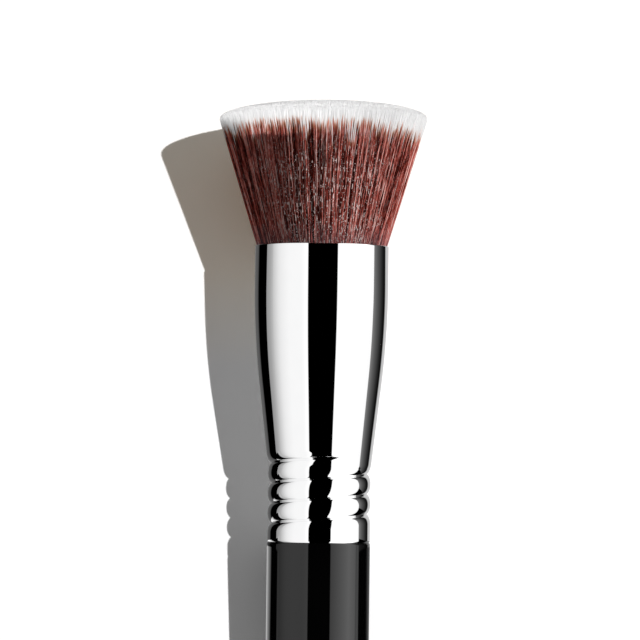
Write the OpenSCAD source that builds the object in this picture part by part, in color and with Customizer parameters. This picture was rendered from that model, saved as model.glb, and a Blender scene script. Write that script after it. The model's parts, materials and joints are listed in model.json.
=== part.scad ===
// A flat-topped kabuki makeup brush, lying on its side with the tuft towards +Y.
// Each piece is drawn upright, with Z = 0 where the ferrule sits on the handle, and then laid down.

/* [Bristle tuft] */
// Radius of the tuft at the rim of its flat top
tuft_rim_r = 19.15; // [16:0.05:23]
// Height of the rim above the ferrule's mouth
tuft_free_len = 23.5; // [16:0.1:32]
// Rise of the domed top from the rim to the middle
tuft_dome_h = 3.2; // [1.5:0.1:5]
// Depth of the packed roots inside the ferrule
root_depth = 25; // [20:0.5:28]
// How far below the mouth the strands part from the packed roots
root_recess = 0.5; // [0.2:0.1:1.5]
// Rings of strands round the middle of the bundle
bundle_rings = 9; // [8:1:9]
// Part of its cell that a strand fills near its tip
strand_fill = 0.84; // [0.6:0.01:0.92]
// Part of its cell that a strand fills at its very tip
tip_fill = 0.62; // [0.3:0.01:0.8]
// Length of the tapered tip of a strand
tip_len = 2.6; // [1:0.1:5]
// Most that an inner strand falls short of the dome
tip_ragged = 0.6; // [0:0.1:1]

/* [Ferrule] */
// Length of the ferrule from cuff to mouth
ferrule_len = 54.3; // [52:0.1:60]
// Outside radius at the mouth
mouth_r = 12.25; // [11:0.05:14]
// Length of the straight tube below the mouth
mouth_tube_len = 16.3; // [14:0.1:20]
// Outside radius of the neck
neck_r = 9.4; // [8.5:0.05:10.2]
// Length of the straight neck
neck_len = 13.5; // [12:0.1:15]
// Length of the round shoulder each side of the cone's upper corner
shoulder_len = 9; // [4:0.5:10]
// Wall of the drawn tube
ferrule_wall = 0.45; // [0.3:0.05:0.8]
// Wall of the neck, where the groove is rolled
neck_wall = 1.3; // [1.2:0.05:1.5]
// Length over which the neck's wall thins to the tube's
wall_step_len = 2; // [1:0.1:3]
// Depth of the chamfers on the ferrule's and the handle's meeting edges
edge_drop = 0.15; // [0.05:0.01:0.3]
// Length of the same chamfers along the brush
edge_run = 0.3; // [0.1:0.01:0.5]

/* [Rolled groove] */
// Height of the groove's lower end
groove_foot = 2.65; // [2.4:0.05:4]
// Direction of the groove's lower end, seen from the tuft
groove_start = 108; // [0:1:360]
// Rise of the groove in one turn
groove_pitch = 3.68; // [3.4:0.01:3.9]
// Turns of the groove
groove_turns = 3.54; // [2:0.01:3.6]
// Depth of the groove
groove_depth = 0.9; // [0.3:0.05:1]
// Height of the groove between the rounded beads' crowns
groove_h = 3.3; // [2.4:0.1:3.35]
// Height of the steep part of the groove
groove_throat_h = 1.3; // [0.8:0.1:1.8]
// Turn over which each end of the groove fades out
groove_fade = 0.15; // [0.1:0.05:0.5]

/* [Handle] */
// Length of the handle below the ferrule
handle_len = 95; // [70:1:130]
// Radius of the handle's straight top
handle_r = 9.43; // [9:0.01:10.6]
// Length of the handle's straight top
handle_straight_len = 38; // [30:1:45]
// Length of the round blend each side of the taper's upper corner
handle_blend_len = 12; // [4:1:18]
// Radius of the handle's ball end
handle_end_r = 6.5; // [5.5:0.1:8]
// Length of the tenon inside the ferrule
tenon_len = 19; // [16:0.5:20]
// Chamfer on the tenon's end
tenon_chamfer = 0.8; // [0.3:0.1:1.5]

/* [Glue and binding] */
// Thickness of the glue between the tenon and the ferrule
tenon_glue_t = 0.12; // [0.08:0.01:0.2]
// Bare height at each end of the tenon's glue
tenon_glue_inset = 1; // [0.5:0.1:2]
// Height of the glue plug under the roots
root_glue_h = 4; // [2:0.5:5]
// Diameter of the binding thread
thread_d = 0.6; // [0.4:0.05:0.9]
// Turns of the binding thread
thread_turns = 5; // [3:1:7]
// Height of the binding above the lower end of the roots
binding_rise = 3; // [1:0.5:5]
// Gap between the packed roots or the binding and the ferrule
root_gap = 0.03; // [0.01:0.01:0.1]

/* [Hidden] */
$fn = 96;

// Points in a round blend of an outline, rings in a turn of the groove, and the strands' random seed
blend_steps = 4;
groove_steps = 36;
tip_seed = 7;

// Heights along the upright brush
cone_top_z = ferrule_len - mouth_tube_len;
neck_wall_z = groove_foot + groove_pitch * groove_turns + groove_h / 2;
rim_z = ferrule_len + tuft_free_len;
strand_z = ferrule_len - root_recess;
root_z = strand_z - root_depth;
binding_z = root_z + binding_rise;
handle_end_z = handle_end_r - handle_len;

// The neck's bore and the tenon in it
neck_bore_r = neck_r - neck_wall;
tenon_r = neck_bore_r - tenon_glue_t;

// A corner b of an outline, rounded over the length t towards a and towards c
function unit(v) = v / norm(v);
function blend(a, b, c, t) =
    let (start = b + t * unit(a - b), end = b + t * unit(c - b))
    [for (i = [0:blend_steps]) let (u = i / blend_steps)
        (1 - u) * (1 - u) * start + 2 * u * (1 - u) * b + u * u * end];

// The ferrule's outside, from the cuff up to the mouth, as points of radius and height
ferrule_side = concat(
    [[neck_r - edge_drop, 0], [neck_r, edge_run], [neck_r, neck_len]],
    blend([neck_r, neck_len], [mouth_r, cone_top_z], [mouth_r, ferrule_len], shoulder_len),
    [[mouth_r, ferrule_len]]
);

// Its inside above the neck is one wall further in
function side_r(z) = lookup(z, [for (p = ferrule_side) [p[1], p[0]]]);
function bore_r(z) = side_r(z) - ferrule_wall;
tube_z = neck_wall_z + wall_step_len;
bore_heights = concat([tube_z], [for (p = ferrule_side) if (p[1] > tube_z) p[1]]);

// The roots end in a waist under the binding thread
binding_h = thread_d * thread_turns;
waist_r = bore_r(binding_z) - root_gap - thread_d;

// The brush lies on the rim of its tuft and on the ball end of its handle
rest_span = rim_z - handle_end_z;
lie_tilt = atan2(tuft_rim_r, rest_span) - asin(handle_end_r / norm([rest_span, tuft_rim_r]));
tuft_reach = (rim_z + tuft_dome_h) * cos(lie_tilt)
    + pow(tuft_rim_r * sin(lie_tilt), 2) / (4 * tuft_dome_h * cos(lie_tilt));
handle_reach = handle_end_z * cos(lie_tilt) - handle_end_r;
lie_y = -(tuft_reach + handle_reach) / 2;
lie_z = tuft_rim_r * cos(lie_tilt) - rim_z * sin(lie_tilt);

module laid_down() {
    translate([0, lie_y, lie_z]) rotate([lie_tilt - 90, 0, 0]) children();
}

// The bundle is a disc of triangular cells. Ring k of its corners has 6 k of them.
rim_corners = 6 * bundle_rings;
rim_step = 360 / rim_corners;
function cell_corner(k, i) = k == 0 ? 0 : 1 + 3 * k * (k - 1) + i % (6 * k);
function outward_cell(k, s, j) =
    [cell_corner(k, s * k + j), cell_corner(k, s * k + j + 1), cell_corner(k - 1, s * (k - 1) + j)];
function inward_cell(k, s, j) =
    [cell_corner(k - 1, s * (k - 1) + j), cell_corner(k, s * k + j + 1),
     cell_corner(k - 1, s * (k - 1) + j + 1)];
cells = [for (k = [1:bundle_rings]) for (s = [0:5]) for (j = [0:2 * k - 2])
    j < k ? outward_cell(k, s, j) : inward_cell(k, s, j - k)];
cell_count = len(cells);

// The disc's corners where the strands part, and how much wider the bundle is at a height above that.
// The cells at the rim are a little larger than the tuft, by what the strands leave free at their tips.
root_top_r = bore_r(strand_z) - root_gap;
rim_cell_r = tuft_rim_r / (cos(rim_step / 2) - (1 - tip_fill) / (3 * bundle_rings));
function spread(z) = 1 + (rim_cell_r / root_top_r - 1) * (z - strand_z) / (rim_z - strand_z);
function on_ring(r, a, z) = [r * cos(a), r * sin(a), z];
disc = concat([[0, 0, strand_z]], [for (k = [1:bundle_rings]) for (i = [0:6 * k - 1])
    on_ring(root_top_r * k / bundle_rings, 60 * i / k + rim_step / 2, strand_z)]);

// The height of the dome over a strand. The strands at the rim all have one length, so the tuft lies even.
function middle(c) = (disc[c[0]] + disc[c[1]] + disc[c[2]]) / 3;
function off_axis(c) = norm([middle(c)[0], middle(c)[1]]) / root_top_r;
tip_noise = rands(0, tip_ragged, cell_count, tip_seed);
function at_rim(i) = off_axis(cells[i]) > 1 - 0.7 / bundle_rings;
function tip_z(i) = at_rim(i) ? rim_z
    : rim_z + tuft_dome_h * (1 - pow(off_axis(cells[i]), 2)) - tip_noise[i];

// The three corners of a strand at a height, drawn in from its cell's corners
function strand_ring(c, z, fill) = [for (p = c)
    let (q = middle(c) + fill * (disc[p] - middle(c))) [q[0] * spread(z), q[1] * spread(z), z]];
strand_corners = [for (i = [0:cell_count - 1]) each concat(
    strand_ring(cells[i], tip_z(i) - tip_len, strand_fill), strand_ring(cells[i], tip_z(i), tip_fill))];

// The packed roots fill the bore from the disc down, and close in under the binding
root_levels = concat(
    [for (i = [len(bore_heights) - 1:-1:0]) let (z = bore_heights[i])
        if (z < strand_z && z > binding_z + binding_h) [bore_r(z) - root_gap, z]],
    [[bore_r(binding_z + binding_h) - root_gap, binding_z + binding_h],
     [waist_r, binding_z + binding_h],
     [waist_r, binding_z],
     [bore_r(root_z) - root_gap, root_z]]
);
root_corners = [for (l = root_levels) for (i = [0:rim_corners - 1])
    on_ring(l[0], i * rim_step + rim_step / 2, l[1])];

// Two triangles of a wall with corner a below b and corner c below d, c being counter-clockwise of a
function wall(a, b, c, d) = [[a, b, d], [a, d, c]];
first_strand = len(disc);
first_root = first_strand + 6 * cell_count;
function strand_faces(i) =
    let (c = cells[i], m = first_strand + 6 * i, t = m + 3)
    concat(
        [for (j = [0:2]) each wall(c[j], m + j, c[(j + 1) % 3], m + (j + 1) % 3)],
        [for (j = [0:2]) each wall(m + j, t + j, m + (j + 1) % 3, t + (j + 1) % 3)],
        [[t + 2, t + 1, t]]
    );
function root_corner(l, i) = l < 0 ? cell_corner(bundle_rings, i)
    : first_root + l * rim_corners + i % rim_corners;
last_level = len(root_levels) - 1;
tuft_faces = concat(
    [for (i = [0:cell_count - 1]) each strand_faces(i)],
    [for (l = [0:last_level]) for (i = [0:rim_corners - 1])
        each wall(root_corner(l, i), root_corner(l - 1, i), root_corner(l, i + 1), root_corner(l - 1, i + 1))],
    [for (i = [1:rim_corners - 2])
        [root_corner(last_level, 0), root_corner(last_level, i), root_corner(last_level, i + 1)]]
);

// The groove is a sweep along a screw line. Its section opens from a narrow throat to the beads' crowns,
// is measured from the ferrule's side, and lifts clear of it at both ends.
groove_lip = 0.8;
crown_clear = 0.06;
groove_rise = groove_depth + groove_lip / 2;
throat_r = -groove_depth / 4;
groove_section = [
    [-groove_depth, 0], [throat_r, groove_throat_h / 2], [crown_clear, groove_h / 2],
    [groove_lip, groove_h / 2], [groove_lip, -groove_h / 2], [crown_clear, -groove_h / 2],
    [throat_r, -groove_throat_h / 2]
];
groove_ring_count = round(groove_turns * groove_steps);
function groove_lift(turn) =
    let (near_end = min(turn, groove_turns - turn) / groove_fade)
    near_end < 1 ? groove_rise * pow(1 - near_end, 2) : 0;
groove_corners = [for (i = [0:groove_ring_count]) for (p = groove_section)
    let (turn = groove_turns * i / groove_ring_count, z = groove_foot + groove_pitch * turn + p[1])
    on_ring(side_r(z) + p[0] + groove_lift(turn), groove_start + 360 * turn, z)];
side_count = len(groove_section);
function groove_corner(i, j) = i * side_count + j % side_count;
groove_faces = concat(
    [[for (j = [0:side_count - 1]) groove_corner(0, j)]],
    [[for (j = [side_count - 1:-1:0]) groove_corner(groove_ring_count, j)]],
    [for (i = [0:groove_ring_count - 1]) for (j = [0:side_count - 1]) each wall(
        groove_corner(i, j + 1), groove_corner(i, j), groove_corner(i + 1, j + 1), groove_corner(i + 1, j))]
);

// The handle's outside, from its ball end up to the shoulder under the ferrule
taper_top = [handle_r, -handle_straight_len];
taper_slope = atan2(handle_r - handle_end_r, taper_top[1] - handle_end_z);
ball_join = [handle_end_r * cos(taper_slope), handle_end_z + handle_end_r * sin(taper_slope)];
handle_side = concat(
    [ball_join],
    blend(ball_join, taper_top, [handle_r, 0], handle_blend_len),
    [[handle_r, -edge_run], [handle_r - edge_drop, 0]]
);

// Black lacquered wood, turned in one piece with the tenon
module handle() {
    color([0.05, 0.05, 0.055]) laid_down() rotate_extrude() {
        polygon(concat(
            [[0, handle_end_z]],
            handle_side,
            [[tenon_r, 0], [tenon_r, tenon_len - tenon_chamfer],
             [tenon_r - tenon_chamfer, tenon_len], [0, tenon_len]]
        ));
        translate([0, handle_end_z]) intersection() {
            circle(handle_end_r);
            translate([0, -handle_end_r]) square([handle_end_r, handle_end_r + ball_join[1] - handle_end_z]);
        }
    }
}

// Bright plated tube, drawn in to the neck and crimped with the rolled groove
module ferrule() {
    color([0.83, 0.84, 0.86]) laid_down() difference() {
        rotate_extrude() polygon(concat(
            ferrule_side,
            [for (i = [len(bore_heights) - 1:-1:0]) [bore_r(bore_heights[i]), bore_heights[i]]],
            [[neck_bore_r, neck_wall_z], [neck_bore_r, 0]]
        ));
        polyhedron(groove_corners, groove_faces);
    }
}

// Brown filaments with their roots packed together inside the ferrule
module bristle_tuft() {
    color([0.47, 0.28, 0.26]) laid_down() polyhedron(concat(disc, strand_corners, root_corners), tuft_faces);
}

// Thread wound side by side round the waist of the roots
module root_binding() {
    color([0.86, 0.83, 0.76]) laid_down() rotate_extrude() translate([waist_r, binding_z]) {
        square([thread_d / 2, binding_h]);
        for (i = [0:thread_turns - 1]) translate([thread_d / 2, (i + 0.5) * thread_d]) intersection() {
            circle(thread_d / 2, $fn = 24);
            translate([-thread_d / 4, -thread_d / 2]) square(thread_d);
        }
    }
}

// Cast plug that fills the bore under the roots
module root_glue() {
    color([0.78, 0.66, 0.42]) laid_down() rotate_extrude() polygon([
        [0, root_z - root_glue_h], [bore_r(root_z - root_glue_h), root_z - root_glue_h],
        [bore_r(root_z), root_z], [0, root_z]
    ]);
}

// Film of glue between the tenon and the neck's bore
module tenon_glue() {
    color([0.85, 0.76, 0.55]) laid_down() rotate_extrude()
        translate([tenon_r, tenon_glue_inset]) square([tenon_glue_t, neck_wall_z - 2 * tenon_glue_inset]);
}

handle();
ferrule();
bristle_tuft();
root_binding();
root_glue();
tenon_glue();
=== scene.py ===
"""Kabuki makeup brush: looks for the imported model.

The brush lies on a white floor with its tuft towards +Y. Pieces are drawn upright in millimetres, with
Z = 0 where the ferrule sits on the handle, and are then laid down in the frame of the CAD model.
"""

import json
import math
import random

import bmesh
import bpy
from mathutils import Matrix, Vector, noise

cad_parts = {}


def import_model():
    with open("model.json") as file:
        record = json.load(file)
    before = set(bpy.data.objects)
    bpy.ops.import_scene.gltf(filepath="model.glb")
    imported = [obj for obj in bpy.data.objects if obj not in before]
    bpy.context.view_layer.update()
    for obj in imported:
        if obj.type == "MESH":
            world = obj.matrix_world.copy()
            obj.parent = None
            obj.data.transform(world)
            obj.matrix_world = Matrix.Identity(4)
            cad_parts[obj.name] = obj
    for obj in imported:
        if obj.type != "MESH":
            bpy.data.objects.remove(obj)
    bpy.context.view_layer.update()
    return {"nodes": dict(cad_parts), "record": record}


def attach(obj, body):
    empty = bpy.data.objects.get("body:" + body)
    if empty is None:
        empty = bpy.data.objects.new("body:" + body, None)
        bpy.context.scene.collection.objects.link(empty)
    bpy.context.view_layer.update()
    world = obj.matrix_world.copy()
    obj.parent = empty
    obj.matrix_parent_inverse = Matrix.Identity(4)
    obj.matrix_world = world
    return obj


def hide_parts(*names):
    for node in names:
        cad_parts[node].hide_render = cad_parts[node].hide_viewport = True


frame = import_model()
BODY = "root"

# The sizes of part.scad that the pieces here share, in millimetres
TUFT_R = 19.15
ROOT_DEPTH = 25.0
ROOT_RECESS = 0.5
FERRULE_LEN = 54.3
RIM_Z = FERRULE_LEN + 23.5
MOUTH_R = 12.25
CONE_TOP_Z = FERRULE_LEN - 16.3
NECK_R = 9.4
NECK_LEN = 13.5
SHOULDER_LEN = 9.0
WALL = 0.45
NECK_BORE_R = NECK_R - 1.3
GROOVE_FOOT = 2.65
GROOVE_START = 108 / 360
PITCH = 3.68
TURNS = 3.54
GROOVE_DEPTH = 0.9
GROOVE_FADE = 0.15
NECK_WALL_Z = GROOVE_FOOT + PITCH * TURNS + 1.65
TUBE_Z = NECK_WALL_Z + 2.0
HANDLE_R = 9.43
HANDLE_STRAIGHT = 38.0
HANDLE_BLEND = 12.0
HANDLE_END_R = 6.5
HANDLE_END_Z = HANDLE_END_R - 95.0
TENON_R = NECK_BORE_R - 0.12
TENON_LEN = 19.0
TENON_CHAMFER = 0.8
THREAD_D = 0.6
BINDING_Z = FERRULE_LEN - ROOT_RECESS - ROOT_DEPTH + 3.0
BINDING_H = 5 * THREAD_D
ROOT_GAP = 0.03
EDGE_DROP = 0.15
EDGE_RUN = 0.3

# How the brush lies, from the mount on its handle: the mount's axis points down the brush
GRIP = frame["record"]["mounts"][0]
GRIP_Z = -13.15
UP_BRUSH = -Vector(GRIP["axis"]).normalized()
LIE_TILT = math.atan2(UP_BRUSH.z, UP_BRUSH.y)
LIE_AT = Vector(GRIP["pos_m"]) - UP_BRUSH * GRIP_Z * 0.001
LIE_TURN = (LIE_TILT - math.pi / 2, 0.0, 0.0)
LAY_DOWN = (
    Matrix.Translation(LIE_AT)
    @ Matrix.Rotation(LIE_TURN[0], 4, "X")
    @ Matrix.Scale(0.001, 4)
)


def put_down(bm, name, material):
    """Lays a mesh that is drawn upright in millimetres down in the CAD frame."""
    bmesh.ops.transform(bm, matrix=LAY_DOWN, verts=bm.verts)
    return as_object(bm, name, material)


def as_object(bm, name, material, smooth=True):
    """An object with the mesh's places as they are and one material."""
    mesh = bpy.data.meshes.new(name)
    for face in bm.faces:
        face.smooth = smooth
    bm.to_mesh(mesh)
    bm.free()
    mesh.materials.append(material)
    obj = bpy.data.objects.new(name, mesh)
    bpy.context.scene.collection.objects.link(obj)
    return obj


def keep(obj, slot, *nodes):
    """The piece rides on the brush and stands for CAD nodes, which are hidden. Its slot is not used."""
    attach(obj, BODY)
    if nodes:
        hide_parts(*nodes)
    return obj


def spun(outline, steps):
    """A solid of revolution. The outline runs anticlockwise in radius and height and closes on itself."""
    bm = bmesh.new()
    verts = [bm.verts.new((r, 0.0, z)) for r, z in outline]
    edges = [bm.edges.new((a, b)) for a, b in zip(verts, verts[1:] + verts[:1])]
    bmesh.ops.spin(
        bm, geom=verts + edges, cent=(0, 0, 0), axis=(0, 0, 1), angle=2 * math.pi,
        steps=steps, use_merge=True, use_duplicate=False,
    )
    bmesh.ops.remove_doubles(bm, verts=bm.verts, dist=1e-5)
    on_axis = [e for e in bm.edges if all(math.hypot(v.co.x, v.co.y) < 1e-6 for v in e.verts)]
    bmesh.ops.delete(bm, geom=on_axis, context="EDGES")
    bmesh.ops.recalc_face_normals(bm, faces=bm.faces)
    return bm


def blend(a, b, c, t, steps=4):
    """A corner b of an outline, rounded over the length t towards a and towards c."""
    a, b, c = Vector(a), Vector(b), Vector(c)
    start = b + t * (a - b).normalized()
    end = b + t * (c - b).normalized()
    out = []
    for i in range(steps + 1):
        u = i / steps
        out.append(tuple((1 - u) ** 2 * start + 2 * u * (1 - u) * b + u * u * end))
    return out


def line_at(points, z):
    """The radius of an outline that climbs, at a height."""
    for (r0, z0), (r1, z1) in zip(points, points[1:]):
        if z0 <= z <= z1:
            return r0 + (r1 - r0) * (z - z0) / max(z1 - z0, 1e-9)
    return points[0][0] if z < points[0][1] else points[-1][0]


# Helpers for the materials' nodes

def tree_of(name):
    mat = bpy.data.materials.new(name)
    mat.use_nodes = True
    tree = mat.node_tree
    tree.nodes.clear()
    return mat, tree


def add(tree, kind, inputs=None, **settings):
    """A node with settings, and inputs that are values or sockets of other nodes."""
    node = tree.nodes.new("ShaderNode" + kind)
    for key, value in settings.items():
        setattr(node, key, value)
    for key, value in (inputs or {}).items():
        socket = node.inputs[key]
        if isinstance(value, bpy.types.NodeSocket):
            tree.links.new(value, socket)
        else:
            socket.default_value = value
    return node


def math_node(tree, operation, a, b=0.0):
    return add(tree, "Math", {0: a, 1: b}, operation=operation).outputs[0]


def remap(tree, value, low, high, to_low=0.0, to_high=1.0, kind="LINEAR"):
    return add(tree, "MapRange", {
        "Value": value, "From Min": low, "From Max": high, "To Min": to_low, "To Max": to_high,
    }, interpolation_type=kind).outputs["Result"]


def ramp(tree, value, stops):
    """Stops are pairs of position and grey or colour."""
    node = add(tree, "ValToRGB", {"Fac": value})
    elements = node.color_ramp.elements
    while len(elements) < len(stops):
        elements.new(0.5)
    for element, (position, colour) in zip(elements, stops):
        element.position = position
        if isinstance(colour, (int, float)):
            colour = (colour, colour, colour)
        element.color = (*colour, 1.0)
    return node.outputs["Color"]


def mix(tree, fac, a, b):
    return add(tree, "Mix", {"Factor": fac, 6: a, 7: b}, data_type="RGBA").outputs[2]


def grey(value):
    return (value, value, value, 1.0)


def brush_coords(tree):
    """Coordinates of the upright brush, in millimetres."""
    coords = add(tree, "TexCoord").outputs["Object"]
    return add(tree, "Mapping", {
        "Vector": coords, "Location": LIE_AT, "Rotation": LIE_TURN, "Scale": (0.001, 0.001, 0.001),
    }, vector_type="TEXTURE").outputs["Vector"]


def noise_at(tree, vector, scale, detail=2.0, roughness=0.5, stretch=None):
    """A noise whose scale counts per millimetre on brush coordinates. Stretch scales it by axis."""
    if stretch:
        vector = add(tree, "Mapping", {"Vector": vector, "Scale": stretch}).outputs["Vector"]
    return add(tree, "TexNoise", {
        "Vector": vector, "Scale": scale, "Detail": detail, "Roughness": roughness,
    }).outputs["Fac"]


def bump(tree, height, strength, distance_mm):
    return add(tree, "Bump", {
        "Height": height, "Strength": strength, "Distance": distance_mm * 0.001,
    }).outputs["Normal"]


def surface(tree, inputs):
    shader = add(tree, "BsdfPrincipled", inputs)
    add(tree, "OutputMaterial", {"Surface": shader.outputs["BSDF"]})


# The brush's finishes

def plating():
    """Mirror plating with a faint haze and the fine lines of drawing along the tube."""
    mat, tree = tree_of("mirror_plating")
    at = brush_coords(tree)
    haze = noise_at(tree, at, 0.35, 3.0)
    drawn = noise_at(tree, at, 1.6, 2.0, stretch=(1, 1, 0.06))
    base = mix(tree, haze, (0.93, 0.93, 0.935, 1), (0.965, 0.965, 0.965, 1))
    surface(tree, {
        "Base Color": base,
        "Metallic": 1.0,
        "Roughness": remap(tree, haze, 0.2, 0.8, 0.012, 0.022),
        "Normal": bump(tree, drawn, 0.05, 0.002),
    })
    return mat


def lacquer():
    """Black gloss lacquer with a slight orange peel and uneven polish."""
    mat, tree = tree_of("black_lacquer")
    at = brush_coords(tree)
    peel = noise_at(tree, at, 0.9, 2.0)
    haze = noise_at(tree, at, 0.15, 3.0)
    surface(tree, {
        "Base Color": mix(tree, haze, (0.0005, 0.0005, 0.0006, 1), (0.0011, 0.001, 0.001, 1)),
        "Roughness": remap(tree, haze, 0.2, 0.8, 0.03, 0.07),
        "IOR": 1.5,
        "Normal": bump(tree, peel, 0.04, 0.004),
    })
    return mat


# The filaments' browns from the darkest to the palest, with their places on the scale of tones
BROWNS = [
    (0.2, (0.052, 0.006, 0.004)), (0.52, (0.36, 0.066, 0.049)),
    (0.84, (0.61, 0.22, 0.185)), (1.0, (0.74, 0.46, 0.42)),
]
TAN = (0.60, 0.30, 0.17, 1)
TIP_WHITE = (0.83, 0.828, 0.828, 1)
TIP_GREY = (0.71, 0.71, 0.712, 1)
# Painted highlight: the colour of the glints on the strands
PAINTED_GLINT = (0.86, 0.73, 0.70, 1)
# Painted shade on the strands where they go into the ferrule
PAINTED_MOUTH_SHADE = (0.20, 0.15, 0.17, 1)
# Lengths along a strand are held in its attribute as shares of this many millimetres
LENGTH_UNIT = 25.0
SEED_STEP = 900.0


def along_strand(tree, seed, depth, scale, shift):
    """A noise that runs along each strand and is its own on every strand."""
    place = add(tree, "CombineXYZ", {
        0: math_node(tree, "MULTIPLY", seed, SEED_STEP),
        1: shift,
        2: math_node(tree, "MULTIPLY", depth, LENGTH_UNIT),
    })
    return noise_at(tree, place.outputs["Vector"], scale, 1.0)


def glints(tree, seed, depth):
    """Painted glints: short bright lines, and a few points, set by noise along each strand."""
    lines = remap(tree, along_strand(tree, seed, depth, 0.95, 11.0), 0.60, 0.68, 0, 0.8)
    points = remap(tree, along_strand(tree, seed, depth, 3.3, 19.0), 0.645, 0.68)
    return math_node(tree, "MAXIMUM", lines, points)


def painted_glint_cover(tree, at, depth):
    """Where the painted glints go: most on the side that lies up, and below the white tips."""
    parts = add(tree, "SeparateXYZ", {"Vector": at})
    x_squared = math_node(tree, "POWER", parts.outputs["X"], 2.0)
    y_squared = math_node(tree, "POWER", parts.outputs["Y"], 2.0)
    r = math_node(tree, "SQRT", math_node(tree, "ADD", x_squared, y_squared))
    up = math_node(tree, "DIVIDE", math_node(tree, "MULTIPLY", parts.outputs["Y"], -1.0), r)
    patches = noise_at(tree, at, 0.35, 2.0)
    upper = math_node(tree, "ADD", up, remap(tree, patches, 0.3, 0.7, -0.15, 0.15))
    cover = remap(tree, upper, 0.62, 0.95, 0.12, 1.0)
    return math_node(tree, "MULTIPLY", cover, remap(tree, depth, 0.14, 0.36))


def filament():
    """Dyed filament. Its attribute holds the strand's seed and clump, the depth below the tip and the
    white tip's length, the last two in shares of LENGTH_UNIT."""
    mat, tree = tree_of("dyed_filament")
    attribute = add(tree, "Attribute", attribute_name="strand")
    parts = add(tree, "SeparateColor", {"Color": attribute.outputs["Color"]})
    seed, clump, depth = parts.outputs[0], parts.outputs[1], parts.outputs[2]
    white_len = attribute.outputs["Alpha"]
    at = brush_coords(tree)
    long_wave = along_strand(tree, seed, depth, 0.26, 3.0)
    short_wave = along_strand(tree, seed, depth, 1.1, 7.0)
    # Painted glints, most on the side that lies up
    glint = math_node(tree, "MULTIPLY", glints(tree, seed, depth), painted_glint_cover(tree, at, depth))
    own_tone = remap(tree, seed, 0, 1, 0.03, 0.95)
    tone = math_node(tree, "ADD", remap(tree, long_wave, 0.3, 0.7, -0.25, 0.25), own_tone)
    tone = math_node(tree, "ADD", remap(tree, short_wave, 0.3, 0.7, -0.17, 0.17), tone)
    tone = math_node(tree, "ADD", remap(tree, clump, 0, 1, 0.06, -0.09), tone)
    brown = ramp(tree, tone, BROWNS)
    past = math_node(tree, "SUBTRACT", depth, white_len)
    whiteness = remap(tree, past, 0.03, -0.012, 0, 1, "SMOOTHSTEP")
    tan = remap(tree, past, 0.07, 0.0, 0, 0.7, "SMOOTHSTEP")
    colour = mix(tree, tan, brown, TAN)
    white = mix(tree, math_node(tree, "MULTIPLY", seed, seed), TIP_WHITE, TIP_GREY)
    colour = mix(tree, whiteness, colour, white)
    colour = mix(tree, glint, colour, PAINTED_GLINT)
    height = add(tree, "SeparateXYZ", {"Vector": at}).outputs["Z"]
    # Painted shade: the strands darken over the last 4 mm before the mouth
    mouth_shade_mix = remap(tree, height, FERRULE_LEN + 4.0, FERRULE_LEN, 0, 0.3)
    colour = mix(tree, mouth_shade_mix, colour, PAINTED_MOUTH_SHADE)
    shader = add(tree, "BsdfPrincipled", {
        "Base Color": colour,
        "Roughness": remap(tree, tone, 0, 1, 0.36, 0.28),
        "IOR": 1.45,
        "Specular IOR Level": 0.0,
        "Normal": bump(tree, short_wave, 0.5, 0.03),
    })
    glow = add(tree, "BsdfTranslucent", {"Color": colour})
    through = remap(tree, whiteness, 0, 1, 0.06, 0.5)
    both = add(tree, "MixShader", {0: through, 1: shader.outputs["BSDF"], 2: glow.outputs["BSDF"]})
    add(tree, "OutputMaterial", {"Surface": both.outputs["Shader"]})
    return mat


def core_in_painted_shade():
    """The bundle's inside, seen only between the strands. Its browns, far darker than the strands', are
    painted shade for the gaps; its top is white.
    """
    mat, tree = tree_of("core_painted_shade")
    at = brush_coords(tree)
    streaks = noise_at(tree, at, 3.2, 3.0, 0.6, stretch=(1, 1, 0.03))
    height = add(tree, "SeparateXYZ", {"Vector": at}).outputs["Z"]
    edge = math_node(tree, "ADD", height, math_node(tree, "MULTIPLY", streaks, 1.5))
    white = remap(tree, edge, RIM_Z - 1.2, RIM_Z - 0.2)
    # Painted shade: the core's browns are near black
    colour = ramp(tree, streaks, [(0.3, (0.012, 0.003, 0.003)), (0.7, (0.08, 0.026, 0.022))])
    surface(tree, {
        "Base Color": mix(tree, white, colour, TIP_WHITE),
        "Roughness": 0.7,
        "Specular IOR Level": 0.2,
        "Normal": bump(tree, streaks, 0.5, 0.1),
    })
    return mat


def waxed_thread():
    """The binding's thread, with its twist."""
    mat, tree = tree_of("waxed_thread")
    at = brush_coords(tree)
    around = add(tree, "TexWave", {
        "Vector": at, "Scale": 1.4, "Distortion": 1.5, "Detail": 2.0,
    }, bands_direction="DIAGONAL").outputs["Fac"]
    surface(tree, {
        "Base Color": mix(tree, around, (0.62, 0.55, 0.43, 1), (0.80, 0.75, 0.64, 1)),
        "Roughness": remap(tree, around, 0, 1, 0.6, 0.45),
        "Normal": bump(tree, around, 0.4, 0.05),
    })
    return mat


def cured_resin(name, low, high, scale):
    """A glue that has set, cloudy between two colours."""
    mat, tree = tree_of(name)
    at = brush_coords(tree)
    cloud = noise_at(tree, at, scale, 4.0, 0.6)
    surface(tree, {
        "Base Color": mix(tree, cloud, low, high),
        "Roughness": remap(tree, cloud, 0.3, 0.7, 0.18, 0.35),
        "IOR": 1.52,
        "Normal": bump(tree, cloud, 0.2, 0.05),
    })
    return mat


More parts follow.
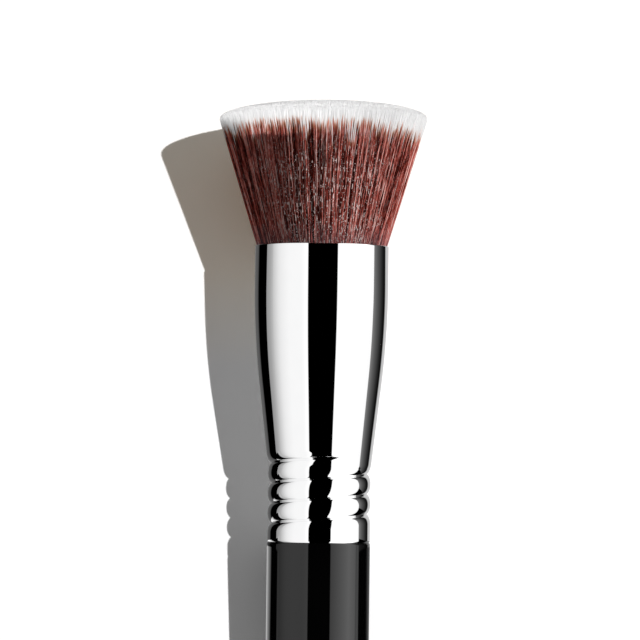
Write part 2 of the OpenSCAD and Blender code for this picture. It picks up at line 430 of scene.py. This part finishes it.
# The ferrule and the handle, as outlines of radius and height
SIDE_FOOT = [(NECK_R - EDGE_DROP, 0.0), (NECK_R, EDGE_RUN)]
CONE = blend((NECK_R, NECK_LEN), (MOUTH_R, CONE_TOP_Z), (MOUTH_R, FERRULE_LEN), SHOULDER_LEN, 14)
SIDE = SIDE_FOOT + [(NECK_R, NECK_LEN)] + CONE + [(MOUTH_R, FERRULE_LEN)]
LIP = 0.19
FERRULE_STEPS = 240
HANDLE_STEPS = 160
CORE_STEPS = 128
# The groove's floor is rounded by this much, and its ends run out this much past its depth
GROOVE_SOFT = 0.05
GROOVE_RUNOUT = 0.05


def side_r(z):
    """The ferrule's outside without its groove."""
    return line_at(SIDE, z)


def bore_r(z):
    return side_r(z) - WALL


def groove_dip(angle, z):
    """How far the rolled groove sinks the ferrule's side in, at an angle in turns and a height."""
    dip = 0.0
    start = (angle - GROOVE_START) % 1.0
    for k in range(int(TURNS) + 1):
        turn = start + k
        if turn > TURNS:
            continue
        off = math.sqrt((z - GROOVE_FOOT - PITCH * turn) ** 2 + GROOVE_SOFT ** 2)
        reach = PITCH / 2
        if off >= reach:
            continue
        near_end = min(turn, TURNS - turn) / GROOVE_FADE
        lift = (GROOVE_DEPTH + GROOVE_RUNOUT) * (1 - near_end) ** 2 if near_end < 1 else 0.0
        bead = 1 - math.sqrt(1 - (1 - off / reach) ** 2)
        dip = max(dip, GROOVE_DEPTH * bead - lift)
    return dip


GROOVE_LOW = GROOVE_FOOT - PITCH / 2
GROOVE_HIGH = GROOVE_FOOT + PITCH * TURNS + PITCH / 2
GROOVE_STEP = 0.075


def ferrule_shell(material):
    """The plated shell with its bore. The groove's turns are pressed into the outside after the spin."""
    rows = int((GROOVE_HIGH - GROOVE_LOW) / GROOVE_STEP)
    zone = [GROOVE_LOW + (GROOVE_HIGH - GROOVE_LOW) * i / rows for i in range(rows + 1)]
    outside = blend((NECK_BORE_R, 0), (NECK_R - EDGE_DROP, 0), (NECK_R, EDGE_RUN), 0.1, 3)
    outside += blend((NECK_R - EDGE_DROP, 0), (NECK_R, EDGE_RUN), (NECK_R, NECK_LEN), 0.12, 3)
    outside += [(side_r(z), z) for z in zone]
    outside += [p for p in CONE if p[1] > GROOVE_HIGH + 0.1]
    outer_lip, inner_lip = (MOUTH_R, FERRULE_LEN), (MOUTH_R - WALL, FERRULE_LEN)
    outside += blend((MOUTH_R, CONE_TOP_Z), outer_lip, inner_lip, LIP)
    inside = blend(outer_lip, inner_lip, (MOUTH_R - WALL, CONE_TOP_Z), LIP)
    inside += [(r - WALL, z) for r, z in reversed(CONE) if z > TUBE_Z + 0.1]
    inside += [(bore_r(TUBE_Z), TUBE_Z), (NECK_BORE_R, NECK_WALL_Z), (NECK_BORE_R, 0.0)]
    bm = spun(outside + inside, FERRULE_STEPS)
    for vert in bm.verts:
        r = math.hypot(vert.co.x, vert.co.y)
        in_groove = GROOVE_LOW - 0.01 < vert.co.z < GROOVE_HIGH + 0.01
        if in_groove and r > max(NECK_BORE_R + 0.9, side_r(vert.co.z) - 0.02):
            turn = math.atan2(vert.co.y, vert.co.x) / (2 * math.pi)
            scale = 1 - groove_dip(turn, vert.co.z) / r
            vert.co.x *= scale
            vert.co.y *= scale
    return put_down(bm, "ferrule_shell", material)


def handle_body(material):
    """The turned handle: a round end, a taper, a straight grip and the tenon in the ferrule."""
    taper_top = (HANDLE_R, -HANDLE_STRAIGHT)
    slope = math.atan2(HANDLE_R - HANDLE_END_R, -HANDLE_STRAIGHT - HANDLE_END_Z)
    join = (HANDLE_END_R * math.cos(slope), HANDLE_END_Z + HANDLE_END_R * math.sin(slope))
    ball_steps = 18
    outline = []
    for i in range(ball_steps + 1):
        a = -math.pi / 2 + (math.pi / 2 + slope) * i / ball_steps
        outline.append((HANDLE_END_R * math.cos(a), HANDLE_END_Z + HANDLE_END_R * math.sin(a)))
    outline[0] = (0.0, HANDLE_END_Z - HANDLE_END_R)
    outline += blend(join, taper_top, (HANDLE_R, 0), HANDLE_BLEND, 14)
    outline += blend(taper_top, (HANDLE_R, -EDGE_RUN), (HANDLE_R - EDGE_DROP, 0), 0.14)
    outline += blend((HANDLE_R, -EDGE_RUN), (HANDLE_R - EDGE_DROP, 0), (TENON_R, 0), 0.1)
    outline += [
        (TENON_R, 0.0), (TENON_R, TENON_LEN - TENON_CHAMFER),
        (TENON_R - TENON_CHAMFER, TENON_LEN), (0.0, TENON_LEN),
    ]
    return put_down(spun(outline, HANDLE_STEPS), "handle_body", material)


# Layers of strands from the outside in. Shares are of the tuft's radius. Each strand is a shaft and a
# tip that overlaps it. The innermost layer has tips only, as the others hide the rest. Marks are the
# steps along a shaft, and tones are the share of the scale of browns that the layer's seeds spread over.
SKIN = {
    "name": "skin", "share": (0.945, 1.0), "strands": 5400, "pieces": 3,
    "thick": (0.072, 0.11), "marks": 8, "tones": 1.0,
}
# The under layer's browns keep to the darker half of the scale: painted shade between the outer strands
UNDER = {
    "name": "under", "share": (0.87, 0.945), "strands": 2600, "pieces": 1,
    "thick": (0.11, 0.15), "marks": 3, "tones": 0.5,
}
INNER = {
    "name": "inner", "share": (0.0, 0.87), "strands": 9000, "pieces": 3,
    "thick": (0.12, 0.17), "marks": 0, "tones": 0.8,
}
INNER_DRAWN = 6.0
TIP_OVERLAP = 0.6
TIP_BROWN_LEN = 2.6
END_CLOSE = 0.15
# A white tip's length: its usual value and spread, what a long one may add, and its limits
WHITE_LEN = 2.02
WHITE_SPREAD = 0.62
LONG_WHITE_SHARE = 0.3
LONG_WHITE_ADDS = 3.2
WHITE_LEAST = 1.3
WHITE_MOST = 5.8
GOLDEN = math.pi * (3 - math.sqrt(5))
STRAND_ROOT_Z = FERRULE_LEN - 0.9
STRAND_ROOT_R = MOUTH_R - WALL - 0.16
STRAND_TIP_R = TUFT_R - 0.08
# Vertices in one ring of a strand
RING = 4
# The dome of the strands' tips, a little lower than the solid's
TUFT_TOP_RISE = 3.15
# The photographed tuft is a little longer on its right side
TOP_SLANT = 0.0117
# The core fills this share of the tuft's radius and ends this far below its top
CORE_SHARE = 0.86
CORE_BELOW_TOP = 3.2
CORE_MARKS = 8


def tuft_top(rho):
    """The height of the domed top at a share of the tuft's radius."""
    return RIM_Z + TUFT_TOP_RISE * math.sqrt(max(0.0, 1 - rho * rho))


def strand(layer, i, rng):
    """One strand's shaft and tip, as points (x, y, z, radius, depth below the tip), and its tones."""
    low, high = layer["share"]
    rho = math.sqrt(low ** 2 + (high ** 2 - low ** 2) * (i + 0.5) / layer["strands"])
    turn = i * GOLDEN
    around = Vector((math.cos(turn), math.sin(turn), 0))
    stray = 0.045 if rng.random() < 0.06 else 0.012
    tip_turn = turn + rng.gauss(0, stray)
    root_r = STRAND_ROOT_R * rho
    tip_rho = min(1.0, rho * (1 + rng.gauss(0, 0.004)))
    tip_r = STRAND_TIP_R * tip_rho
    short = rng.random() ** 2 * 0.14 + rng.random() ** 14 * 0.3
    tip_z = tuft_top(tip_rho) - short + TOP_SLANT * tip_r * math.cos(tip_turn)
    length = tip_z - STRAND_ROOT_Z
    wave_len, wave_at = rng.uniform(5, 11), rng.uniform(0, 2 * math.pi)
    wave_a, wave_r = rng.gauss(0, 0.085), rng.gauss(0, 0.045)
    bow_a, bow_r = rng.gauss(0, 0.21), rng.gauss(0, 0.1) - 0.05
    thick = rng.uniform(*layer["thick"])
    wander = 0.65 * around.x + 0.8 * around.x ** 2
    white = rng.gauss(WHITE_LEN, WHITE_SPREAD) + wander
    is_long = rng.random() < LONG_WHITE_SHARE
    white += is_long * rng.random() * LONG_WHITE_ADDS
    white = min(WHITE_MOST, max(WHITE_LEAST, white))

    def points_at(depths):
        points = []
        for k, depth in enumerate(depths):
            t = 1 - depth / length
            bow = math.sin(math.pi * t)
            sway = math.sin(2 * math.pi * length * t / wave_len + wave_at) * min(1.0, 3 * (1 - t))
            r = root_r + (tip_r - root_r) * t + bow_r * bow + wave_r * sway
            r = min(r, STRAND_ROOT_R + (STRAND_TIP_R - STRAND_ROOT_R) * t)
            a = turn + (tip_turn - turn) * t + (bow_a * bow + wave_a * sway) / r
            radius = 0.0 if k in (0, len(depths) - 1) else thick * min(1.0, 0.5 + depth / 2)
            points.append((r * math.cos(a), r * math.sin(a), STRAND_ROOT_Z + length * t, radius, depth))
        return points

    split = white + TIP_BROWN_LEN
    shaft = []
    if layer["marks"]:
        steps = [length + (split - length) * k / layer["marks"] for k in range(1, layer["marks"])]
        shaft = points_at([length, length - END_CLOSE] + steps + [split + END_CLOSE, split])
        tip_foot = split + TIP_OVERLAP
        tip = points_at([tip_foot, tip_foot - END_CLOSE, split * 0.5, 1.0, 0.25, 0.0])
    else:
        tip = points_at([INNER_DRAWN, INNER_DRAWN - END_CLOSE, 1.0, 0.25, 0.0])
    clump = min(1.0, max(0.0, 0.5 + 0.8 * noise.noise(around * 22 + Vector((0, 0, 4)))))
    return shaft, tip, (rng.random() * layer["tones"], clump, white / LENGTH_UNIT)


def strand_pieces(layer, rng, material):
    """The layer's shafts and its tips, as two lists of pieces."""
    strands = [strand(layer, i, rng) for i in range(layer["strands"])]
    rng.shuffle(strands)
    share = math.ceil(len(strands) / layer["pieces"])
    shafts, tips = [], []
    for first in range(0, len(strands), share):
        group = strands[first:first + share]
        number = first // share + 1
        if layer["marks"]:
            name = "bristle_%s_shafts_%d" % (layer["name"], number)
            shafts.append(strand_piece([(s[0], s[2]) for s in group], name, material))
        name = "bristle_%s_tips_%d" % (layer["name"], number)
        tips.append(strand_piece([(s[1], s[2]) for s in group], name, material))
    return shafts, tips


def strand_piece(group, name, material):
    """A mesh of closed strands, made from curves, with an attribute that its material reads."""
    curve = bpy.data.curves.new(name, "CURVE")
    curve.dimensions = "3D"
    curve.fill_mode = "FULL"
    curve.bevel_depth = 1.0
    curve.bevel_resolution = 0
    values = []
    for points, (seed, clump, white) in group:
        spline = curve.splines.new("POLY")
        spline.points.add(len(points) - 1)
        places = []
        for x, y, z, _, _ in points:
            places += (x, y, z, 1.0)
        spline.points.foreach_set("co", places)
        spline.points.foreach_set("radius", [p[3] for p in points])
        for p in points:
            values += (seed, clump, p[4] / LENGTH_UNIT, white) * RING
    holder = bpy.data.objects.new(name, curve)
    bpy.context.scene.collection.objects.link(holder)
    mesh = bpy.data.meshes.new_from_object(holder)
    bpy.data.objects.remove(holder)
    bpy.data.curves.remove(curve)
    attribute = mesh.attributes.new("strand", "FLOAT_COLOR", "POINT")
    attribute.data.foreach_set("color", values)
    bm = bmesh.new()
    bm.from_mesh(mesh)
    bpy.data.meshes.remove(mesh)
    bmesh.ops.remove_doubles(bm, verts=bm.verts, dist=1e-6)
    bmesh.ops.recalc_face_normals(bm, faces=bm.faces)
    return put_down(bm, name, material)


def bristle_core(material):
    """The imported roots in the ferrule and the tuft's inside under its outer strands."""
    root_z = FERRULE_LEN - ROOT_RECESS - ROOT_DEPTH
    waist_r = bore_r(BINDING_Z) - ROOT_GAP - THREAD_D
    top_of_waist = BINDING_Z + BINDING_H
    outline = [(0.0, root_z), (bore_r(root_z) - ROOT_GAP, root_z)]
    outline += [(waist_r, BINDING_Z), (waist_r, top_of_waist)]
    outline += [(bore_r(z) - ROOT_GAP, z) for z in (top_of_waist, top_of_waist + 3, 42, 46, 50, 53.5)]
    foot_r = (MOUTH_R - WALL) * CORE_SHARE
    for i in range(CORE_MARKS + 1):
        t = i / CORE_MARKS
        z = FERRULE_LEN - 1.2 + (RIM_Z - 3.4 - FERRULE_LEN + 1.2) * t
        full_r = MOUTH_R - WALL + (TUFT_R - MOUTH_R + WALL) * (z - FERRULE_LEN) / (RIM_Z - FERRULE_LEN)
        outline.append((foot_r + (full_r * CORE_SHARE - foot_r) * t, z))
    top_r = outline[-1][0]
    for i in range(1, CORE_MARKS):
        rho = 1 - i / CORE_MARKS
        outline.append((top_r * rho, tuft_top(rho) - CORE_BELOW_TOP))
    outline.append((0.0, tuft_top(0) - CORE_BELOW_TOP))
    return put_down(spun(outline, CORE_STEPS), "bristle_core", material)


# The brush is put together
FILAMENT = filament()
STRAND_RNG = random.Random(11)
TUFT_PIECES = [bristle_core(core_in_painted_shade())]
NO_TUFT_SHADE = TUFT_PIECES[:]
for strand_layer in (SKIN, UNDER, INNER):
    shaft_pieces, tip_pieces = strand_pieces(strand_layer, STRAND_RNG, FILAMENT)
    TUFT_PIECES += shaft_pieces + tip_pieces
    NO_TUFT_SHADE += tip_pieces[1:] if strand_layer is INNER else tip_pieces
for piece in TUFT_PIECES:
    keep(piece, "bristles", "bristle_tuft")
keep(ferrule_shell(plating()), "ferrule_plate", "ferrule")
keep(handle_body(lacquer()), "handle_lacquer", "handle")

INNER_FINISH = {
    "root_binding": waxed_thread(),
    "root_glue": cured_resin("amber_resin", (0.45, 0.27, 0.07, 1), (0.68, 0.48, 0.20, 1), 0.5),
    "tenon_glue": cured_resin("tenon_adhesive", (0.58, 0.43, 0.21, 1), (0.76, 0.62, 0.36, 1), 0.9),
}
for node_name, finish in INNER_FINISH.items():
    inner = frame["nodes"][node_name]
    for material_slot in inner.material_slots:
        material_slot.material = finish

# The camera looks straight down on the ferrule, but for a small tilt and roll
CAMERA_TILT = math.radians(6.28)
CAMERA_ROLL = math.radians(0.67)
CAMERA_FAR = 0.705
AIM = LAY_DOWN @ Vector((-0.2, 0.0, 40.73))


def camera():
    data = bpy.data.cameras.new("camera")
    data.lens = 216.0
    data.sensor_width = 36.0
    data.clip_start = 0.01
    data.clip_end = 50.0
    obj = bpy.data.objects.new("camera", data)
    bpy.context.scene.collection.objects.link(obj)
    turn = Matrix.Rotation(CAMERA_TILT, 4, "X")
    back = turn @ Vector((0, 0, CAMERA_FAR))
    obj.matrix_world = Matrix.Translation(AIM + back) @ turn @ Matrix.Rotation(CAMERA_ROLL, 4, "Z")
    bpy.context.scene.camera = obj


camera()

# The sun draws the shadow on the floor. The tuft has a softer and lower lamp from the right of its own.
SUN_TRAVEL = Vector((-0.49, -0.11, -1.0))
TUFT_LAMP_TRAVEL = Vector((-0.86, -0.42, -0.50))


def linked(name, pieces, link_state):
    """A list for a lamp that holds only some pieces, or all but them."""
    group = bpy.data.collections.new(name)
    for piece in pieces:
        group.objects.link(piece)
    for member in group.collection_objects:
        member.light_linking.link_state = link_state
    return group


def sun_lamp(name, travel, energy, degrees):
    data = bpy.data.lights.new(name, "SUN")
    data.energy = energy
    data.angle = math.radians(degrees)
    obj = bpy.data.objects.new(name, data)
    bpy.context.scene.collection.objects.link(obj)
    obj.rotation_euler = travel.to_track_quat("-Z", "Y").to_euler()
    obj.visible_glossy = False
    return obj


sun = sun_lamp("sun", SUN_TRAVEL, 3.0, 0.7)
sun.light_linking.receiver_collection = linked("all_but_tuft", TUFT_PIECES, "EXCLUDE")
tuft_lamp = sun_lamp("tuft_lamp", TUFT_LAMP_TRAVEL, 4.2, 28.0)
tuft_lamp.light_linking.receiver_collection = linked("tuft_only", TUFT_PIECES, "INCLUDE")
# The core and most of the tips cast no shade in the tuft's lamp: white tips let the light through
tuft_lamp.light_linking.blocker_collection = linked("no_tuft_shade", NO_TUFT_SHADE, "EXCLUDE")


def world():
    """White where it is seen or reflected, and faint as a light."""
    sky = bpy.data.worlds.new("studio")
    sky.use_nodes = True
    tree = sky.node_tree
    tree.nodes.clear()
    path = add(tree, "LightPath").outputs
    seen = math_node(tree, "MAXIMUM", path["Is Camera Ray"], path["Is Glossy Ray"])
    seen = math_node(tree, "MAXIMUM", seen, path["Is Transmission Ray"])
    strength = remap(tree, seen, 0, 1, 0.2, 1.0)
    back = add(tree, "Background", {"Color": grey(1.0), "Strength": strength})
    add(tree, "OutputWorld", {"Surface": back.outputs["Background"]})
    bpy.context.scene.world = sky


world()

# Painted light in the floor's shadow: a little warmer beside the tuft, and lighter at the handle. The
# stops lie along the brush.
FLOOR_SHADE = [(0.0, 0.7), (0.25, 0.2), (0.6, 0.25), (0.78, (1.0, 0.62, 0.0))]
FLOOR_GLOW = 0.05
FLOOR_DROP = 0.00005


def floor():
    """A white floor just under the brush. It adds a little light to its shadow, for the camera only."""
    mat, tree = tree_of("white_floor")
    at = add(tree, "TexCoord").outputs["Object"]
    fine = noise_at(tree, at, 900.0, 3.0)
    seen = add(tree, "LightPath").outputs["Is Camera Ray"]
    along = add(tree, "SeparateXYZ", {"Vector": at}).outputs["Y"]
    shade_tone = ramp(tree, remap(tree, along, -0.02, 0.08), FLOOR_SHADE)
    surface(tree, {
        "Base Color": mix(tree, fine, grey(0.985), grey(1.0)),
        "Roughness": 0.8,
        "Specular IOR Level": 0.0,
        "Emission Color": shade_tone,
        "Emission Strength": math_node(tree, "MULTIPLY", seen, FLOOR_GLOW),
    })
    bm = bmesh.new()
    bmesh.ops.create_grid(bm, x_segments=2, y_segments=2, size=4.0)
    bmesh.ops.translate(bm, vec=(0, 0, -FLOOR_DROP), verts=bm.verts)
    as_object(bm, "floor", mat, False)


floor()

# Cards that only the gloss reflects: a tent over the brush, and strips of tone on the floor beside it.
# Angles are measured round the brush from straight up, negative to the left.
TENT_R = 0.5
TENT_HALF_LEN = 1.6
TENT_SPAN = 92.0
# The tones spread with the distance along the brush, so that they run straight on through the grooves
TENT_WIDENS = 1.3
TENT_TONES = [
    (-92, 0.55), (-86.8, 0.66), (-82, 0.755), (-77.6, 0.835), (-73, 0.89), (-65, 0.945), (-57, 0.985),
    (-35, 0.99), (-30, 1.03), (-27, 1.08), (-23.2, 1.1), (-22.4, 0.0), (26.6, 0.0), (27.4, 1.1),
    (32, 1.25), (51, 1.85), (72, 2.5), (92, 1.6),
]
TENT_TOP = 2.5
# Positions on the floor are measured in heights of the brush's axis above it.
CARD_SPAN = 9.0
CARD_HALF_WIDTH = 0.12
CARD_LIFT = 0.0002
FERRULE_CARD = [
    (-9, 0.39), (-7.4, 0.377), (-4.6, 0.315), (-4.45, 0.28), (-4.35, 0.0), (-1.75, 0.0), (-1.6, 0.083),
    (-1.1, 0.12), (0.9, 0.66), (1.05, 0.6), (1.45, 0.55), (1.6, 0.0), (1.8, 0.004), (2.25, 0.023),
    (2.81, 0.055), (3.59, 0.09), (4.75, 0.14), (6.8, 0.23), (7.3, 0.26), (7.5, 1.0),
]
HANDLE_CARD = [
    (-9, 0.5), (-7.6, 0.46), (-6.2, 0.42), (-5.9, 0.0), (-2.15, 0.0), (-1.9, 0.55), (-1.4, 0.95),
    (-0.6, 0.9), (0.0, 0.3), (1.35, 0.2), (1.8, 0.025), (2.1, 0.0), (6.6, 0.0), (7.2, 0.3), (7.5, 1.0),
]
FAR_SPAN = 40.0
FAR_CARD = [(-40, 0.58), (-13.2, 0.467), (-7.4, 0.377), (40, 0.377)]


def only_for_gloss(obj):
    """The card is seen in reflections alone, and casts no shadow."""
    obj.visible_camera = False
    obj.visible_diffuse = False
    obj.visible_transmission = False
    obj.visible_volume_scatter = False
    obj.visible_shadow = False


def toned_card(name, place, span, tones, top):
    """An emitter whose tone runs through the given stops over a place from -span to span."""
    mat, tree = tree_of(name)
    along = remap(tree, place(tree), -span, span)
    stops = [((p + span) / (2 * span), value / top) for p, value in tones]
    tone = ramp(tree, along, stops)
    light = add(tree, "Emission", {"Color": tone, "Strength": top})
    add(tree, "OutputMaterial", {"Surface": light.outputs["Emission"]})
    mat.cycles.emission_sampling = "NONE"
    return mat


def round_place(tree):
    """The angle round the brush, in degrees, drawn together with the distance along it."""
    at = add(tree, "SeparateXYZ", {"Vector": add(tree, "TexCoord").outputs["Object"]})
    rise = math_node(tree, "SUBTRACT", at.outputs["Z"], LIE_AT.z)
    angle = math_node(tree, "ARCTAN2", at.outputs["X"], rise)
    far = math_node(tree, "POWER", math_node(tree, "DIVIDE", at.outputs["Y"], TENT_WIDENS), 2.0)
    narrowed = math_node(tree, "DIVIDE", angle, math_node(tree, "ADD", far, 1.0))
    return math_node(tree, "MULTIPLY", narrowed, 180 / math.pi)


def beside_place(tree):
    """The distance to the side, in heights of the brush's axis above the floor."""
    at = add(tree, "SeparateXYZ", {"Vector": add(tree, "TexCoord").outputs["Object"]})
    along = math_node(tree, "SUBTRACT", at.outputs["Y"], LIE_AT.y)
    height = math_node(tree, "ADD", math_node(tree, "MULTIPLY", along, math.tan(LIE_TILT)), LIE_AT.z)
    return math_node(tree, "DIVIDE", at.outputs["X"], math_node(tree, "MAXIMUM", height, 0.004))


def tent():
    """A half tube over the brush, closed by a disc at each end."""
    mat = toned_card("tent_tones", round_place, TENT_SPAN, TENT_TONES, TENT_TOP)
    bm = bmesh.new()
    start = math.radians(TENT_SPAN)
    ends = [
        bm.verts.new((-TENT_R * math.sin(start), y, LIE_AT.z + TENT_R * math.cos(start)))
        for y in (-TENT_HALF_LEN, TENT_HALF_LEN)
    ]
    edge = bm.edges.new(ends)
    bmesh.ops.spin(
        bm, geom=ends + [edge], cent=(0, 0, LIE_AT.z), axis=(0, 1, 0), angle=2 * start, steps=90)
    for y in (-TENT_HALF_LEN, TENT_HALF_LEN):
        turn = Matrix.Translation((0, y, LIE_AT.z)) @ Matrix.Rotation(math.pi / 2, 4, "X")
        bmesh.ops.create_circle(bm, cap_ends=True, radius=TENT_R, segments=90, matrix=turn)
    only_for_gloss(as_object(bm, "tent", mat))


def floor_card(name, tones, span, x_from, x_to, y_from, y_to):
    """A flat card just over the floor, between the given edges in metres."""
    mat = toned_card(name + "_tones", beside_place, span, tones, 1.0)
    bm = bmesh.new()
    bmesh.ops.create_grid(bm, x_segments=2, y_segments=2, size=0.5)
    size = Vector((x_to - x_from, y_to - y_from, 1.0))
    bmesh.ops.scale(bm, vec=size, verts=bm.verts)
    middle = Vector(((x_from + x_to) / 2, (y_from + y_to) / 2, CARD_LIFT))
    bmesh.ops.translate(bm, vec=middle, verts=bm.verts)
    only_for_gloss(as_object(bm, name, mat, False))


tent()
floor_card("ferrule_card", FERRULE_CARD, CARD_SPAN, -CARD_HALF_WIDTH, CARD_HALF_WIDTH, LIE_AT.y, 0.5)
floor_card("handle_card", HANDLE_CARD, CARD_SPAN, -CARD_HALF_WIDTH, CARD_HALF_WIDTH, -0.5, LIE_AT.y)
floor_card("far_card", FAR_CARD, FAR_SPAN, -0.52, -CARD_HALF_WIDTH, -0.5, 0.5)

scene = bpy.context.scene
scene.view_settings.view_transform = "Standard"
